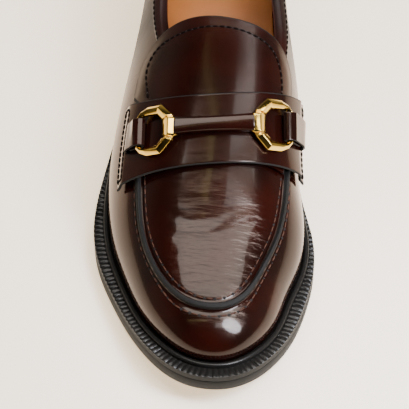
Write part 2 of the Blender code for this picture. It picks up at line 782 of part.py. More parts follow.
def build_tab(side, name):
    """A leather tab: out of the strap's slit, over and round the ring's hidden bar, and back under it."""
    point, sideways, back, out = ring_frame(side)
    half = TAB_THICKNESS / 2
    bar_out = -RING[HIDDEN_BAR][0] * RING_WIDTH / 2
    bar_in = -RING[HIDDEN_BAR][2] * RING_WIDTH / 2
    bar_top = RING_THICKNESS * RING[HIDDEN_BAR][4] + GAP + half
    fold = bar_in - GAP - half * 1.6
    span = abs(slit_place(side) - bit_place(side)) - bar_out
    lower = STRAP_THICKNESS + 2 * GAP + half
    upper = lower + TAB_THICKNESS + GAP
    edges = (-TAB_WIDTH / 2, 0.0, TAB_WIDTH / 2)

    def over_strap(share, height):
        """Points over the strap at a share of the way from the slit to the ring's bar."""
        place = slit_place(side) - side * share * span
        return [strap_point(place, BIT_SETBACK + edge / strap_flare(place), height) for edge in edges]

    def by_ring(outward, height):
        """Points in the ring's flat frame."""
        return [point + sideways * side * outward + out * height + back * edge for edge in edges]

    path = [over_strap(0.0, STRAP_THICKNESS * 0.35), over_strap(0.0, STRAP_THICKNESS + TAB_RISE),
            over_strap(0.12, upper - TAB_RISE), over_strap(0.40, upper + TAB_EASE), over_strap(0.70, upper + 4 * TAB_EASE),
            by_ring(bar_out, bar_top), by_ring(bar_in, bar_top), by_ring(fold, bar_top * 0.72),
            by_ring(fold, TAB_EASE), by_ring(bar_in, -GAP - half), by_ring(bar_out, -GAP - half),
            over_strap(0.75, lower), over_strap(0.45, lower)]
    outer = []
    inner = []
    for i, row in enumerate(path):
        before = path[max(i - 1, 0)]
        after = path[min(i + 1, len(path) - 1)]
        normals = [(b - a).cross(row[2] - row[0]).normalized() for a, b in zip(before, after)]
        outer.append([at + normal * half for at, normal in zip(row, normals)])
        inner.append([at - normal * half for at, normal in zip(row, normals)])
    return new_object(name, *sheet(outer, inner), "burgundy_leather")


def remove_all():
    for old in list(bpy.data.objects):
        bpy.data.objects.remove(old, do_unlink=True)


def stand_on_origin(pieces):
    """Moves the pieces so that the middle of the bounding box's underside is the origin."""
    bpy.context.view_layer.update()
    points = [piece.matrix_world @ point.co for piece in pieces for point in piece.data.vertices]
    low = [min(point[k] for point in points) for k in range(3)]
    high = [max(point[k] for point in points) for k in range(3)]
    for piece in pieces:
        piece.location -= Vector(((low[0] + high[0]) / 2, (low[1] + high[1]) / 2, low[2]))


def main():
    remove_all()
    pieces = [build_outsole(), build_heel(), build_welt(), build_insole(), build_upper(), build_tongue(),
              build_strap(), build_bar()]
    for side, name in ((1, "medial"), (-1, "lateral")):
        pieces.append(build_ring(side, "ring_" + name))
        pieces.append(build_tab(side, "tab_" + name))
    stand_on_origin(pieces)


main()
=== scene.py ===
"""The looks of the bit loafer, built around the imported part.

Metres, toe towards -Y, heel towards +Y, medial side at +X, +Z up. Every leather piece follows the last:
a place on it is a share across its half width and a share of its length from the toe.
"""
import math
from contextlib import contextmanager

import bpy
import numpy as np
from mathutils import Matrix, Quaternion, Vector
from mathutils.bvhtree import BVHTree


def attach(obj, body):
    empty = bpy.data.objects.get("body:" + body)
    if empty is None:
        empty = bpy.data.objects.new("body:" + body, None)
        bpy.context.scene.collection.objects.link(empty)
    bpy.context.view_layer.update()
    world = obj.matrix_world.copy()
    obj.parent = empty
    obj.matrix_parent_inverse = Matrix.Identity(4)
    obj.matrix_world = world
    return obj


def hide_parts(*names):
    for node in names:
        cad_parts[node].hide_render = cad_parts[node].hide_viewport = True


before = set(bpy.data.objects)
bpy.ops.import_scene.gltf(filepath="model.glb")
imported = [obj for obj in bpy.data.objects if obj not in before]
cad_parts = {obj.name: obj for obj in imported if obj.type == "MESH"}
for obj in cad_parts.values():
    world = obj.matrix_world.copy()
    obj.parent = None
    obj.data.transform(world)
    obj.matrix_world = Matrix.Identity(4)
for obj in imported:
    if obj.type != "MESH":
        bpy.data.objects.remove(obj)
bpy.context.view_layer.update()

# Sizes of the last and of the bottom, the same as the part's
LAST_LENGTH = 0.262
BALL_WIDTH = 0.0875
INSTEP_HEIGHT = 0.076
COLLAR_HEIGHT = 0.058
TOE_SPRING = 0.010
HEEL_HEIGHT = 0.0215
SOLE_THICKNESS = 0.0070
WELT_THICKNESS = 0.0040
WELT_STANDOUT = 0.0085
BEAD_RADIUS = 0.0015
GAP = 0.0003
WALL = 0.0020
RIDGE_WIDTH = 0.0024
RIDGE_HEIGHT = 0.0018
TONGUE_THICKNESS = 0.0018
STRAP_WIDTH = 0.033
STRAP_THICKNESS = 0.0020
STRAP_TILT = 20
STRAP_SKEW = 8
STRAP_FLARE = 0.27
STRAP_LATERAL = 0.0535
STRAP_MEDIAL = 0.0505
STRAP_DROP = 0.008
SLIT_WIDTH = 0.0022
SLIT_LENGTH = 0.0140
BIT_SPREAD = 0.0246
BIT_OFFSET = -0.0042
BIT_SETBACK = 0.0011
TAB_MEDIAL = 0.0222
TAB_LATERAL = 0.0159
ORIGIN = np.array((0.002015, 0.002380, 0.0))

# Powers and places that round the last, the same as the part's
SIDE_POWER = 2.2
END_POWER = 2.3
CREST_POWER = 2.5
TOE_ROUND = 0.313
HEEL_ROUND = 0.15
BULGE_TOP = 0.8
BALL_FRONT = 0.26
BALL_BACK = 0.38
SEAT_FRONT = 0.82
THROAT_FRONT = 0.372
THROAT_CORNER = 0.440
APRON_FRONT = 0.070
APRON_CORNER = 0.314
SEAM_FAN = 0.12
SEAM_END = 0.385
SEAM_FADE = 0.355
SEAM_BLEND = 0.14
TONGUE_FREE = 0.425
TONGUE_WIDENING = {-1: 0.10, 1: 0.02}
STRAP_CENTRE = 0.367
TONGUE_TOP = 0.541
TONGUE_SLANT = 0.018
TONGUE_CORNER = 0.455
TONGUE_INSET = 0.03
TONGUE_POWER = 5
TONGUE_LAP = 0.004

# Sewing and trim
SEWING = {
    # row: stitch pitch, stitch length, thread thickness, needle hole width
    "apron_inner": (0.0044, 0.0031, 0.0007, 0.0013),
    "apron_outer": (0.0044, 0.0032, 0.0008, 0.0013),
    "collar": (0.0030, 0.0023, 0.0008, 0.0009),
    "tongue": (0.0032, 0.0025, 0.0009, 0.0009),
    "strap_end": (0.0028, 0.0026, 0.0008, 0.0004),
}
# How far a stitch's middle lies over the leather, as a share of its thickness
THREAD_LIFT = 0.12
PRICK_PITCH = 0.0018
PRICK_WIDTH = 0.0007
INNER_ROW = 0.0033
OUTER_ROW = 0.0030
OUTER_ROW_AT_TOE = 0.0048
# Shares of the last's length over which the outer row moves out round the toe
SPREAD_END = 0.13
SPREAD_LENGTH = 0.07
SEWN_TO = 0.318
# The strap's stitched boxes: their long sides from its end, and how far they stay inside its edges
END_BOX = (0.0014, 0.0062)
END_BOX_MARGIN = 0.0020
RIB_PITCH = 0.0026
RIB_HEIGHT = 0.0007
WELT_BAND = (
    # share of its width, how far under its top, share of a rib's height
    (0.03, 0.0005, 0.0),
    (0.12, 0.0002, 1.0),
    (0.50, 0.0002, 1.0),
    (0.88, 0.0003, 1.0),
    (0.97, 0.0006, 1.0),
    (1.00, 0.0011, 0.9),
    (1.00, 0.0019, 0.0),
)
COLLAR_ROLL = 0.0070
ROLL_REACH = 1.2
GROOVE_DEPTH = 0.6
GROOVE_WIDTH = 0.16
COLLAR_THICKNESS = 0.0044
COLLAR_LEAN = 0.0006

SECTIONS = (
    # share, half_width, centre, crest, lean, bulge, lateral_stand, medial_stand
    (0.00, 0.768, 0.086, 0.380, 0.000, 0.024, 1.06, 1.06),
    (0.08, 0.879, 0.059, 0.400, 0.000, 0.024, 0.84, 0.94),
    (0.15, 0.916, 0.029, 0.440, 0.000, 0.026, 0.88, 1.03),
    (0.22, 0.994, 0.011, 0.500, 0.020, 0.028, 0.96, 0.81),
    (0.30, 1.026, -0.018, 0.600, 0.060, 0.035, 0.91, 0.61),
    (0.38, 0.985, -0.052, 0.720, 0.105, 0.055, 0.69, 0.45),
    (0.50, 0.920, -0.058, 0.900, 0.125, 0.080, 0.45, 0.33),
    (0.62, 0.792, -0.066, 1.010, 0.095, 0.085, 0.40, 0.33),
    (0.75, 0.700, -0.083, 1.050, 0.035, 0.085, 0.42, 0.36),
    (0.87, 0.695, -0.092, 1.130, 0.010, 0.090, 0.45, 0.42),
    (1.00, 0.700, -0.092, 1.250, 0.000, 0.090, 0.50, 0.50),
)

TOPLINE = (
    # share, height
    (0.36, 0.800),
    (0.44, 0.930),
    (0.50, 0.975),
    (0.58, 0.900),
    (0.68, 0.845),
    (0.80, 0.860),
    (0.90, 0.930),
    (1.00, 1.000),
)

FAN = (
    # start, end
    (0.00, 0.00),
    (0.30, 0.05),
    (0.50, 0.16),
    (0.70, 0.46),
    (0.85, 0.75),
    (1.00, 1.00),
)

APRON = (
    # share, across
    (0.00, 0.720),
    (0.20, 0.742),
    (0.30, 0.745),
    (0.40, 0.818),
    (0.50, 0.826),
    (0.60, 0.830),
    (1.00, 0.830),
)

# The raised seam's rounded shape: distance from its middle and height, as shares of half its width and of
# its height. The leather beside it is drawn down a little by the stitches
RIDGE = (
    # distance, height
    (-3.60, 0.00),
    (-2.80, -0.12),
    (-2.10, -0.04),
    (-1.42, 0.10),
    (-1.20, 0.50),
    (-1.04, 0.88),
    (-0.80, 0.98),
    (0.00, 1.00),
    (0.75, 1.02),
    (0.95, 0.90),
    (1.06, 0.45),
    (1.20, -0.10),
    (1.60, -0.26),
    (2.50, -0.10),
    (3.60, 0.00),
)

# Soft troughs pressed into the plug by walking
CREASES = (
    # depth, width, places (share across, share along) from end to end
    (0.00016, 0.0020, ((-0.40, 0.226), (-0.20, 0.214), (0.03, 0.222))),
    (0.00020, 0.0022, ((-0.33, 0.186), (-0.12, 0.180), (0.11, 0.197), (0.43, 0.228))),
    (0.00008, 0.0020, ((0.14, 0.238), (0.26, 0.247), (0.38, 0.250))),
    (0.00008, 0.0022, ((-0.38, 0.160), (-0.10, 0.150), (0.18, 0.163))),
    (0.00006, 0.0020, ((-0.05, 0.128), (0.20, 0.132), (0.36, 0.150))),
)

# How the pieces are divided and filled out
UPPER_COLUMNS = 216
WALL_STEPS = 220
LOW_ROWS = 24
HIGH_ROWS = 36
ROLL_ROWS = 10
RIM_ROWS = 7
COLLAR_PUFF = 0.0008
TONGUE_PUFF = 0.0003
TONGUE_MARGIN = 0.006
TONGUE_STITCHES = (
    # share across, share along
    (-0.735, 0.440), (-0.760, 0.463), (-0.785, 0.499), (-0.740, 0.519), (-0.582, 0.527), (-0.359, 0.529),
    (-0.100, 0.527), (0.120, 0.523), (0.300, 0.517), (0.469, 0.507), (0.560, 0.489), (0.605, 0.460),
    (0.605, 0.432),
)
TONGUE_COLUMNS = 97
TONGUE_ROWS = 64
EDGE_ROUND = 0.0006
TAB_EDGE_FACING = 0.6

# How the leather's finish changes along the shoe
LEATHER_FINISH = (
    # value, place where it starts to change, place where it ends, before it, after it
    ("Roughness", 0.0, 0.03, 0.21, 0.50),
    ("Coat Weight", 0.0, 0.03, 1.0, 0.10),
    ("Coat Roughness", -0.05, 0.0, 0.08, 0.16),
)

# The camera and the lights of the studio
CAMERA_TURN = -5.24
CAMERA_LIFT = 53.76
CAMERA_TARGET = (0.00123, -0.06388, 0.05)
CAMERA_DISTANCE = 0.9
CAMERA_LENS = 176.76
AIR = (
    # axis of the direction, start and end on it, strength at the start and at the end
    ("Y", -0.6, 0.1, 0.15, 1.0),
    ("X", -1.0, 1.0, 0.45, 0.40),
    ("Z", 0.35, 0.70, 1.0, 0.06),
)
PAPER_GLOW = 1.35
LIGHTS = (
    # name, shape, place, aim, size, turn,
    # power, colour, share in diffuse light, whether the gloss shows it
    ("overhead_softbox", "RECTANGLE", (0.06, 0.175, 1.30), (0.06, 0.175, 0.0), (1.44, 0.63), 0,
     26.0, "#FFF9F2", 0.50, True),
    ("toe_softbox", "ELLIPSE", (0.183, -0.167, 0.290), (0.020, -0.119, 0.035), (0.085, 0.23), 0,
     2.5, "#F2F4FF", 0.0, True),
    ("right_softbox", "RECTANGLE", (0.42, -0.31, 1.30), (0.42, -0.31, 0.0), (0.64, 0.15), 0,
     2.1, "#FFFFFF", 0.0, True),
    ("greenish_strip", "RECTANGLE", (-0.47, -0.30, 1.30), (-0.47, -0.30, 0.0), (0.72, 0.035), 13,
     0.46, "#EAD78C", 1.0, True),
    ("broad_soft_light", "RECTANGLE", (1.15, -0.50, 2.30), (0.0, -0.05, 0.0), (1.30, 1.30), 0,
     46.0, "#F8FAFF", 1.0, False),
)


def natural_spline(table, column):
    """A smooth curve through one column of a table, against its first column, for arrays of shares."""
    knots = np.array([row[0] for row in table])
    values = np.array([row[column] for row in table])
    gaps = np.diff(knots)
    slopes = np.diff(values) / gaps
    count = len(knots)
    system = np.eye(count)
    bend_sums = np.zeros(count)
    for i in range(1, count - 1):
        system[i, i - 1:i + 2] = gaps[i - 1], 2 * (gaps[i - 1] + gaps[i]), gaps[i]
        bend_sums[i] = 6 * (slopes[i] - slopes[i - 1])
    bends = np.linalg.solve(system, bend_sums)

    def curve(share):
        at = np.clip(share, knots[0], knots[-1])
        i = np.clip(np.searchsorted(knots, at, side="right") - 1, 0, count - 2)
        left = at - knots[i]
        right = knots[i + 1] - at
        cubic = (bends[i] * right ** 3 + bends[i + 1] * left ** 3) / (6 * gaps[i])
        start = (values[i] / gaps[i] - bends[i] * gaps[i] / 6) * right
        end = (values[i + 1] / gaps[i] - bends[i + 1] * gaps[i] / 6) * left
        return cubic + start + end

    return curve


half_width_share, centre_share, crest_share, lean_share, bulge_share, lateral_stand, medial_stand = (
    natural_spline(SECTIONS, column) for column in range(1, 8))
topline_share = natural_spline(TOPLINE, 1)
fan_share = natural_spline(FAN, 1)
apron_across = natural_spline(APRON, 1)


def smooth_step(value):
    """Goes smoothly from 0 to 1 while the value goes from 0 to 1."""
    x = np.clip(value, 0.0, 1.0)
    return x ** 3 * (10 - 15 * x + 6 * x * x)


def unit(vectors):
    return vectors / np.maximum(np.linalg.norm(vectors, axis=-1, keepdims=True), 1e-12)


def sole_line(share):
    spring = TOE_SPRING * np.maximum(0.0, (BALL_FRONT - share) / BALL_FRONT) ** 2
    return spring + HEEL_HEIGHT * smooth_step((share - BALL_BACK) / (SEAT_FRONT - BALL_BACK))


def end_fill(share):
    toe = np.maximum(0.0, (TOE_ROUND - share) / TOE_ROUND) ** END_POWER
    heel = np.maximum(0.0, (share - 1 + HEEL_ROUND) / HEEL_ROUND) ** END_POWER
    return toe + heel


def last_points(across, share):
    """Points on the outside of the upper, for arrays of shares across and along."""
    half = half_width_share(share) * BALL_WIDTH / 2
    rise = np.maximum(0.0, 1 - np.abs(across) ** SIDE_POWER - end_fill(share)) ** (1 / CREST_POWER)
    x = BALL_WIDTH * centre_share(share) + across * half + BALL_WIDTH * lean_share(share) * rise ** 2
    y = (share - 0.5) * LAST_LENGTH
    base = sole_line(share) + SOLE_THICKNESS + WELT_THICKNESS + 2 * GAP
    z = base + INSTEP_HEIGHT * crest_share(share) * rise
    toe = np.maximum(0.0, (TOE_ROUND - share) / TOE_ROUND) ** (END_POWER - 1) / TOE_ROUND
    heel = np.maximum(0.0, (share - 1 + HEEL_ROUND) / HEEL_ROUND) ** (END_POWER - 1) / HEEL_ROUND
    out_x = SIDE_POWER * np.sign(across) * np.abs(across) ** (SIDE_POWER - 1) / half
    out_y = END_POWER * (heel - toe) / LAST_LENGTH
    length = np.maximum(np.hypot(out_x, out_y), 1e-6)
    level = np.minimum(rise / BULGE_TOP, 1.0)
    swell = bulge_share(share) * BALL_WIDTH / 2 * 6.75 * level * (1 - level) ** 2
    return np.stack((x + swell * out_x / length, y + swell * out_y / length, z + 0 * x), axis=-1) + ORIGIN


def over_last(across, share, height):
    """Points at a height over the upper's outside."""
    across, share = np.broadcast_arrays(across, share)
    step = 0.002
    sideways = last_points(across + step, share) - last_points(across - step, share)
    back = last_points(across, share + step) - last_points(across, share - step)
    out = unit(np.cross(sideways, back))
    return last_points(across, share) + out * np.asarray(height)[..., None]


def edge_across(share):
    return np.maximum(0.0, 1 - end_fill(share)) ** (1 / SIDE_POWER)


def topline_across(share):
    level = topline_share(share) * COLLAR_HEIGHT / (INSTEP_HEIGHT * crest_share(share))
    return np.maximum(0.0, 1 - end_fill(share) - np.minimum(level, 1.0) ** CREST_POWER) ** (1 / SIDE_POWER)


def collar_back():
    """The share at which the topline crosses the back of the heel."""
    low, high = 1 - HEEL_ROUND, 1.0
    for _ in range(40):
        middle = (low + high) / 2
        if topline_across(middle) > 0.0:
            low = middle
        else:
            high = middle
    return low


COLLAR_BACK = collar_back()


def opening_across(share):
    """The share across of the opening's edge, rounded at the throat."""
    throat = np.maximum(0.0, (THROAT_CORNER - share) / (THROAT_CORNER - THROAT_FRONT))
    return topline_across(share) * np.sqrt(np.maximum(0.0, 1 - throat ** 2))


def apron_line(share):
    """The share across of the apron seam, rounded at the toe."""
    toe = np.clip((APRON_CORNER - share) / (APRON_CORNER - APRON_FRONT), 0.0, 1.0)
    return apron_across(share) * (1 - toe ** END_POWER) ** (1 / END_POWER)


def arc_lengths(points):
    """Distance along a line of points, from its first."""
    return np.concatenate(([0.0], np.cumsum(np.linalg.norm(np.diff(points, axis=0), axis=1))))


def points_at(at, lengths, points):
    """The points at these distances along a line of points, given its arc lengths."""
    return np.column_stack([np.interp(at, lengths, row) for row in points.T])


def spaced(points, pitch):
    """The line of points again, spaced evenly, one every pitch."""
    lengths = arc_lengths(points)
    count = max(2, int(round(lengths[-1] / pitch)) + 1)
    return points_at(np.linspace(0.0, lengths[-1], count), lengths, points)


def outline(count):
    """The feather line as a closed loop, toe to heel on the medial side and back: plan points, outward
    directions, shares along and sides, spaced evenly."""
    turn = (1 - np.cos(np.linspace(0.0, math.pi, 1200))) / 2
    loop = []
    for side, shares in ((1, turn), (-1, turn[::-1])):
        half = half_width_share(shares) * BALL_WIDTH / 2
        x = BALL_WIDTH * centre_share(shares) + side * edge_across(shares) * half
        loop.append(np.column_stack((x, (shares - 0.5) * LAST_LENGTH, shares, np.full_like(shares, side))))
    loop = np.vstack((loop[0], loop[1][1:]))
    lengths = arc_lengths(loop[:, :2])
    at = np.linspace(0.0, lengths[-1], count + 1)
    plan = points_at(at, lengths, loop[:, :3])
    ahead = np.roll(plan[:-1, :2], -1, axis=0)
    behind = np.roll(plan[:-1, :2], 1, axis=0)
    tangent = unit(ahead - behind)
    outward = np.column_stack((tangent[:, 1], -tangent[:, 0]))
    outward = np.vstack((outward, outward[:1]))
    side = np.where(at < lengths[-1] / 2, 1, -1)
    return plan[:, :2], outward, plan[:, 2], side


def sole_offset(side, share):
    return WELT_STANDOUT * np.where(side > 0, medial_stand(share), lateral_stand(share))


def deselect():
    bpy.ops.object.select_all(action="DESELECT")


def choose(piece):
    deselect()
    piece.select_set(True)
    bpy.context.view_layer.objects.active = piece


@contextmanager
def editing():
    """Edit mode with the whole of the active piece chosen, and object mode again at the end."""
    bpy.ops.object.mode_set(mode="EDIT")
    bpy.ops.mesh.select_all(action="SELECT")
    yield
    bpy.ops.object.mode_set(mode="OBJECT")


def laid_grid(name, points, closed=False):
    """A grid primitive whose points are laid where the array says; closed joins its two ends."""
    rows, columns = points.shape[:2]
    deselect()
    bpy.ops.mesh.primitive_grid_add(x_subdivisions=columns - 1, y_subdivisions=rows - 1)
    piece = bpy.context.object
    piece.name = name
    piece.data.name = name
    piece.data.vertices.foreach_set("co", points.astype(float).reshape(-1))
    if closed:
        with editing():
            bpy.ops.mesh.remove_doubles(threshold=1e-6)
    piece.data.update()
    return piece


def finish_modifier(piece, kind, **settings):
    """Adds a modifier with its settings and applies it."""
    choose(piece)
    modifier = piece.modifiers.new(kind.title(), kind)
    for name, value in settings.items():
        setattr(modifier, name, value)
    bpy.ops.object.modifier_apply(modifier=modifier.name)


def smooth(piece, angle):
    choose(piece)
    bpy.ops.object.shade_smooth_by_angle(angle=math.radians(angle))


def complete(piece, materials, nodes=()):
    """Gives the piece its materials by their names and the CAD nodes that it stands for."""
    while len(piece.data.materials) < len(materials):
        piece.data.materials.append(None)
    for i, name in enumerate(materials):
        piece.data.materials[i] = MATERIALS[name]
    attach(piece, "root")
    if nodes:
        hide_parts(*nodes)
    return piece


def put_in_scene(name, data):
    made = bpy.data.objects.new(name, data)
    bpy.context.scene.collection.objects.link(made)
    return made


def node_copy(name, node):
    """A copy of a CAD node's mesh with its loose triangles joined and paired into quads."""
    deselect()
    piece = put_in_scene(name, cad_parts[node].data.copy())
    choose(piece)
    with editing():
        bpy.ops.mesh.remove_doubles(threshold=1e-6)
        bpy.ops.mesh.tris_convert_to_quads()
    piece.data.materials.clear()
    return piece


def surface_of(piece):
    """A tree that finds the nearest place on a piece."""
    faces = [list(face.vertices) for face in piece.data.polygons]
    return BVHTree.FromPolygons([vertex.co.copy() for vertex in piece.data.vertices], faces)


def route_places(route, surface, pitch, lift=0.0):
    """A placing matrix every pitch along a route on the surface: X along the route, Z out of it."""
    points = spaced(route, pitch)
    middles = (points[1:] + points[:-1]) / 2
    along = unit(points[1:] - points[:-1])
    places = []
    for middle, direction in zip(middles, along):
        found, normal, _, _ = surface.find_nearest(Vector(middle))
        x = Vector(direction)
        x = (x - normal * x.dot(normal)).normalized()
        place = Matrix((x, normal.cross(x), normal)).transposed().to_4x4()
        place.translation = found + normal * lift
        places.append(place)
    return places


def copies(name, model, places):
    """One piece made of copies of a small model, one at each placing matrix. The model is used up."""
    deselect()
    for place in places:
        copy = put_in_scene(name, model.data.copy())
        copy.matrix_world = place
        copy.select_set(True)
        bpy.context.view_layer.objects.active = copy
    bpy.ops.object.join()
    bpy.ops.object.transform_apply(location=True, rotation=True, scale=True)
    joined = bpy.context.object
    joined.name = name
    bpy.data.objects.remove(model)
    return joined


def stitch_model(length, thickness):
    """One stitch: a short round thread, pinched where it dips into the leather."""
    deselect()
    bpy.ops.mesh.primitive_uv_sphere_add(segments=8, ring_count=6, radius=0.5)
    model = bpy.context.object
    with editing():
        bpy.ops.transform.rotate(value=math.pi / 2, orient_axis="Y", center_override=(0, 0, 0))
        bpy.ops.transform.resize(value=(length, thickness, thickness))
        bpy.ops.mesh.faces_shade_smooth()
    return model


def pinhole_model(width):
    """One pinhole: a small flat cone in painted shade, dark where a needle left a hole."""
    deselect()
    bpy.ops.mesh.primitive_cone_add(vertices=8, radius1=width / 2, depth=0.0003, location=(0, 0, 0.00002))
    model = bpy.context.object
    with editing():
        bpy.ops.transform.resize(value=(1.3, 1, 0.4))
    bpy.ops.object.transform_apply(location=True, rotation=True, scale=True)
    return model


def sew(row, routes, surface, thread):
    """A row of stitches along each route on the surface, with a pinhole between each two of them."""
    pitch, length, thickness, hole = SEWING[row]
    lift = thickness * THREAD_LIFT
    places = [place for route in routes for place in route_places(route, surface, pitch, lift)]
    name = row + "_stitches"
    complete(copies(name, stitch_model(length, thickness), places), [thread])
    between = [place @ Matrix.Translation((pitch / 2, 0, -lift)) for place in places]
    holes = copies(name + "_pinholes", pinhole_model(hole), between)
    complete(holes, ["pinhole"])


def prick(name, route, surface):
    """A row of pinholes along a route on the surface."""
    holes = copies(name, pinhole_model(PRICK_WIDTH), route_places(route, surface, PRICK_PITCH))
    complete(holes, ["pinhole"])


def spline_through(places, count):
    """Places on a smooth curve through a table of places (share across, share along)."""
    places = np.array(places)
    at = arc_lengths(places * np.array((BALL_WIDTH / 2, LAST_LENGTH)))
    wanted = np.linspace(0.0, at[-1], count)
    rows = [(a, *place) for a, place in zip(at, places)]
    return np.column_stack([natural_spline(rows, column)(wanted) for column in (1, 2)])


def near_line(points, line):
    """Each point's distance to a line of points."""
    best = np.full(points.shape[:-1], 1e9)
    for a, b in zip(line, line[1:]):
        span = b - a
        t = np.clip(((points - a) @ span) / max(span @ span, 1e-12), 0.0, 1.0)
        best = np.minimum(best, np.linalg.norm(points - a - t[..., None] * span, axis=-1))
    return best


def wall_column(side, share):
    """A line up the wall: its points, the distances along it, the seam's distance and its strength."""
    end_share = THROAT_FRONT + (COLLAR_BACK - THROAT_FRONT) * fan_share(share)
    start = np.array((side * edge_across(share), share))
    end = np.array((side * opening_across(end_share), end_share))
    rise = APRON_FRONT / THROAT_FRONT + SEAM_FAN * smooth_step(share / SEAM_END)
    seam_share = share + (end_share - share) * rise
    seam = np.array((side * apron_line(seam_share), seam_share))
    mix = smooth_step((share - SEAM_END) / SEAM_BLEND)
    middle = seam * (1 - mix) + (start + end) / 2 * mix
    steps = np.linspace(0.0, 1.0, WALL_STEPS + 1)[:, None]
    low = start + (middle - start) * steps[:-1] ** CREST_POWER
    places = np.vstack((low, middle + (end - middle) * steps))
    points = last_points(places[:, 0], places[:, 1])
    lengths = arc_lengths(points)
    strength = 1 - smooth_step((share - SEAM_FADE) / (2 * (SEAM_END - SEAM_FADE)))
    return points, lengths, lengths[WALL_STEPS], strength


def upper_rows():
    """The upper's outside as rows of points round the shoe, and each point's height over the last."""
    _, _, shares, sides = outline(UPPER_COLUMNS)
    seam_places = np.array([row[0] for row in RIDGE]) * RIDGE_WIDTH / 2
    seam_heights = np.array([row[1] for row in RIDGE]) * RIDGE_HEIGHT
    rows = []
    heights = []
    for share, side in zip(shares[:-1], sides[:-1]):
        points, lengths, at_seam, strength = wall_column(side, share)
        reach = seam_places[-1]
        rest = lengths[-1] - at_seam - reach
        roll = min(COLLAR_ROLL * ROLL_REACH, rest * 0.5)
        at = np.concatenate((
            np.linspace(0.0, at_seam - reach, LOW_ROWS, endpoint=False),
            at_seam + seam_places,
            np.linspace(at_seam + reach, lengths[-1] - roll, HIGH_ROWS + 1, endpoint=False)[1:],
            np.linspace(lengths[-1] - roll, lengths[-1], ROLL_ROWS),
        ))
        height = np.zeros(len(at))
        height[LOW_ROWS:LOW_ROWS + len(RIDGE)] = seam_heights * strength
        to_top = np.clip((lengths[-1] - at) / COLLAR_ROLL, 0.0, 1.0)
        padded = smooth_step((share - 0.10) / 0.2) * COLLAR_PUFF
        groove = GROOVE_DEPTH * np.exp(-((to_top - 1) / GROOVE_WIDTH) ** 2)
        height += padded * (np.sin(math.pi * to_top) - groove) - COLLAR_LEAN * (1 - to_top) ** 2
        rows.append(points_at(at, lengths, points))
        heights.append(height)
    return np.array(rows).transpose(1, 0, 2), np.array(heights).T


def build_upper():
    """The upper: vamp, raised apron seam, quarters with a padded collar, rounded rim and lining. Gives the
    piece and the line of its collar's stitches."""
    grid, heights = upper_rows()
    shares = (grid[-1, :, 1] - ORIGIN[1]) / LAST_LENGTH + 0.5
    around = np.roll(grid, -1, axis=1) - np.roll(grid, 1, axis=1)
    upward = np.gradient(grid, axis=0)
    outward = unit(np.cross(around, upward))
    upward = unit(upward)
    for depth, width, route in CREASES:
        line = last_points(*np.array(route).T)
        heights = heights - depth * np.exp(-(near_line(grid, line) / width) ** 2)
    skin = grid + outward * heights[:, :, None]
    below_top = np.linalg.norm(grid - grid[-1], axis=-1)[:, :, None]
    opened = smooth_step((shares[None, :, None] - THROAT_FRONT) / (THROAT_CORNER - THROAT_FRONT))
    wall = WALL + (COLLAR_THICKNESS - WALL) * opened * (1 - smooth_step(below_top / (3 * COLLAR_ROLL)))
    rim = []
    for turn in np.linspace(0.0, math.pi, RIM_ROWS + 2)[1:-1]:
        inward = outward[-1] * wall[-1] / 2 * (1 - math.cos(turn))
        rim.append(skin[-1] - inward + upward[-1] * WALL / 2 * math.sin(turn))
    inner = (grid - outward * (wall + COLLAR_LEAN * np.exp(-below_top / COLLAR_ROLL)))[::-4]
    rows = np.concatenate((skin, np.array(rim), inner))
    rows = np.concatenate((rows, rows[:, :1]), axis=1)
    upper = laid_grid("upper_leather", rows, closed=True)
    lining = len(skin) + RIM_ROWS - 2
    seam_low, seam_high = LOW_ROWS + 3, LOW_ROWS + len(RIDGE) - 4
    kinds = np.zeros((len(rows) - 1, len(rows[0]) - 1), int)
    kinds[lining:] = 2
    seam_shown = heights[LOW_ROWS + len(RIDGE) // 2] > RIDGE_HEIGHT * 0.15
    kinds[seam_low:seam_high, seam_shown] = 1
    upper.data.polygons.foreach_set("material_index", kinds.reshape(-1))
    smooth(upper, 60)
    complete(upper, ["leather", "dyed_edge", "lining"], ["upper"])
    down = np.linspace(ROLL_REACH, 0.0, ROLL_ROWS)
    return upper, skin[len(grid) - ROLL_ROWS + int(np.argmin(np.abs(down - 1.0)))]


def strap_share(across, distance):
    """The shares along the last at which the strap's tilted cross plane at a distance meets these lines."""
    tilt = math.radians(STRAP_TILT)
    skew = math.tan(math.radians(STRAP_SKEW))
    crest = last_points(0.0, STRAP_CENTRE)
    low = np.full(np.shape(across), 0.2)
    high = np.full(np.shape(across), 0.8)
    for _ in range(40):
        middle = (low + high) / 2
        step = last_points(across, middle) - crest
        ahead = step[..., 1] - skew * step[..., 0]
        beyond = ahead * math.cos(tilt) + step[..., 2] * math.sin(tilt) - distance
        low = np.where(beyond < 0.0, middle, low)
        high = np.where(beyond < 0.0, high, middle)
    return (low + high) / 2


def strap_arc():
    shares = np.linspace(-0.99, 0.99, 199)
    lengths = arc_lengths(last_points(shares, strap_share(shares, 0.0)))
    return lengths - lengths[99], shares


STRAP_ARC = strap_arc()
SEAM_ARC = {side: abs(float(np.interp(side * apron_line(STRAP_CENTRE), STRAP_ARC[1], STRAP_ARC[0])))
            for side in (-1, 1)}


def strap_flare(place):
    """How much wider the strap is at a distance from the crest than over it."""
    return 1 + STRAP_FLARE * (place / STRAP_LATERAL) ** 2


def strap_points(place, distance, height):
    """Points over the strap's middle line (place), a distance towards the heel, at a height over its base."""
    place, distance = np.broadcast_arrays(place, distance)
    across = np.interp(place, *STRAP_ARC)
    seam = np.where(place > 0, SEAM_ARC[1], SEAM_ARC[-1])
    down = smooth_step((np.abs(place) - seam - RIDGE_WIDTH) / STRAP_DROP)
    base = GAP + (TONGUE_THICKNESS + GAP) * (1 - down)
    return over_last(across, strap_share(across, distance * strap_flare(place)), base + height)


